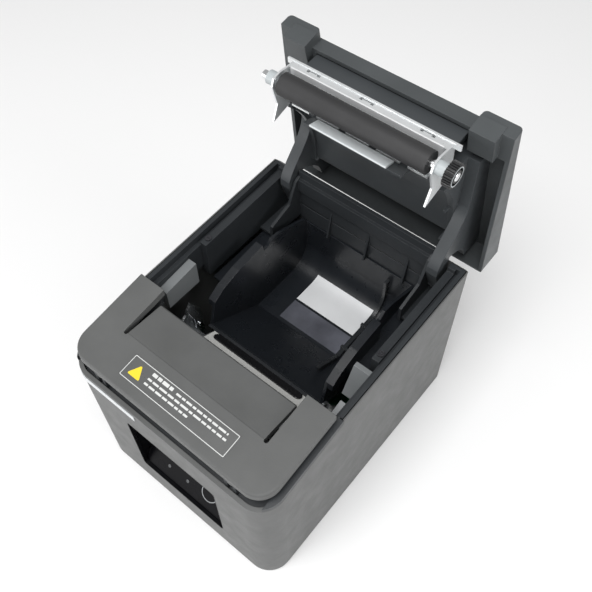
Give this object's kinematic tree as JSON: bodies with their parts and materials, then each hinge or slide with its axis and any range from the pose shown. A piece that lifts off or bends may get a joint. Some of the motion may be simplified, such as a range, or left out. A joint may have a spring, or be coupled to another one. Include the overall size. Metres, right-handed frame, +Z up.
{
  "type": "receipt printer",
  "caption": "Desktop thermal receipt printer with a clamshell lid, roll well, cutter cover, feed button and rear sockets; the lid stands open.",
  "frame": {"origin": "centre of the body's footprint, on the surface that the rubber feet stand on", "axes": "+X to the printer's right as its front is faced, +Y to the rear, +Z up"},
  "size_m": [0.148, 0.2274, 0.2247],
  "materials": {
    "case_plastic": "fine textured dark grey moulded plastic",
    "frame_plastic": "dark grey moulded plastic, satin",
    "well_plastic": "black moulded plastic, slightly shiny",
    "panel_gloss": "gloss black plastic",
    "button_plastic": "black plastic with a pale ring",
    "lens": "frosted lens, unlit",
    "light_plastic": "light grey plastic",
    "label": "printed film label",
    "white_label": "blank white film",
    "badge_plastic": "pale blank strip",
    "foot_rubber": "soft black rubber",
    "platen_rubber": "ground black rubber",
    "steel": "bright steel",
    "sheet_steel": "zinc plated sheet",
    "screw_steel": "plated screw",
    "alu": "plain aluminium",
    "ceramic": "white ceramic",
    "epoxy": "black epoxy",
    "gear_plastic": "black acetal",
    "white_gear": "white acetal",
    "board": "green circuit board",
    "port_metal": "plated shell",
    "port_plastic": "black connector",
    "motor_metal": "plated motor can"
  },
  "bodies": {
    "printer": {"badge": "badge_plastic", "base_plate": "frame_plastic", "base_screws": "screw_steel", "board_screws": "screw_steel", "cash_drawer_port": "port_plastic", "cover_pins": "steel", "cutter_body": "sheet_steel", "cutter_motor": "motor_metal", "dc_inlet": "port_plastic", "feed_motor": "motor_metal", "frame_screws": "screw_steel", "gear_pin": "steel", "head_pivot_rod": "steel", "head_springs": "steel", "hinge_pins": "steel", "lan_port": "port_metal", "latch_pins": "steel", "led_lenses": "lens", "main_board": "board", "mech_frame": "sheet_steel", "outer_case": "case_plastic", "paper_sensor": "panel_gloss", "paper_well": "well_plastic", "rear_panel": "frame_plastic", "rubber_feet": "foot_rubber", "side_guides": "frame_plastic", "status_panel": "panel_gloss", "switch_body": "port_plastic", "upper_frame": "frame_plastic", "usb_port": "port_metal", "well_label": "white_label", "width_guide": "well_plastic"},
    "lid": {"lid_shell": "case_plastic", "lid_liner": "frame_plastic", "platen_bracket": "sheet_steel", "fixed_blade": "steel", "platen_bushings": "light_plastic", "paper_guide": "frame_plastic", "paper_lip": "light_plastic"},
    "platen": {"platen_shaft": "steel", "platen_roller": "platen_rubber", "platen_gear": "gear_plastic"},
    "front_cover": {"front_cover": "case_plastic", "cover_label": "label"},
    "feed_button": {"feed_button": "button_plastic"},
    "power_rocker": {"power_rocker": "port_plastic"},
    "motor_pinion": {"motor_pinion": "steel"},
    "drive_gear": {"drive_gear": "white_gear"},
    "print_head": {"thermal_head": "ceramic", "head_chip_cover": "epoxy", "heat_sink": "alu"},
    "cutter_gear": {"cutter_gear": "white_gear"},
    "moving_blade": {"moving_blade": "steel"},
    "latch_left": {"latch_left": "sheet_steel"},
    "latch_right": {"latch_right": "sheet_steel"}
  },
  "joints": [
    {"name": "lid_hinge", "type": "hinge", "parent": "printer", "child": "lid", "pos_m": [0, 0.0885, 0.103], "axis": [1, 0, 0], "range_deg": [0, 86]},
    {"name": "platen_spin", "type": "hinge", "parent": "lid", "child": "platen", "pos_m": [0, 0.06975, 0.21487], "axis": [1, 0, 0], "continuous": true},
    {"name": "front_cover_hinge", "type": "hinge", "parent": "printer", "child": "front_cover", "pos_m": [0, -0.0885, 0.1164], "axis": [1, 0, 0], "range_deg": [0, 55]},
    {"name": "feed_button_press", "type": "slide", "parent": "printer", "child": "feed_button", "axis": [0, 0.7934, -0.6088], "range_m": [0, 0.0008], "stiffness_N_per_m": 600},
    {"name": "power_rocker_tilt", "type": "hinge", "parent": "printer", "child": "power_rocker", "pos_m": [0, 0.088, 0.028], "axis": [1, 0, 0], "range_deg": [0, 14]},
    {"name": "motor_pinion_spin", "type": "hinge", "parent": "printer", "child": "motor_pinion", "pos_m": [0, -0.03628, 0.06349], "axis": [1, 0, 0], "continuous": true},
    {"name": "drive_gear_spin", "type": "hinge", "parent": "printer", "child": "drive_gear", "pos_m": [0, -0.01966, 0.07557], "axis": [1, 0, 0], "continuous": true},
    {"name": "print_head_tilt", "type": "hinge", "parent": "printer", "child": "print_head", "pos_m": [0, -0.03345, 0.08177], "axis": [1, 0, 0], "range_deg": [-1.5, 0], "stiffness_Nm_per_rad": 4, "springref_deg": 2.86},
    {"name": "cutter_gear_spin", "type": "hinge", "parent": "printer", "child": "cutter_gear", "pos_m": [0.01955, -0.066, 0.1], "axis": [0, 0, -1], "range_deg": [0, 83.84]},
    {"name": "moving_blade_slide", "type": "slide", "parent": "printer", "child": "moving_blade", "axis": [0, 1, 0], "range_m": [0, 0.008]},
    {"name": "latch_left_pivot", "type": "hinge", "parent": "printer", "child": "latch_left", "pos_m": [0, -0.0134, 0.074], "axis": [1, 0, 0], "range_deg": [-8, 0], "stiffness_Nm_per_rad": 0.02},
    {"name": "latch_right_pivot", "type": "hinge", "parent": "printer", "child": "latch_right", "pos_m": [0, -0.0134, 0.074], "axis": [1, 0, 0], "range_deg": [-8, 0], "stiffness_Nm_per_rad": 0.02}
  ],
  "couplings": [
    {"joint": "motor_pinion_spin", "follows": "drive_gear_spin", "ratio": -3.5556},
    {"joint": "cutter_gear_spin", "follows": "moving_blade_slide", "rad_per_m": 181.82}
  ]
}
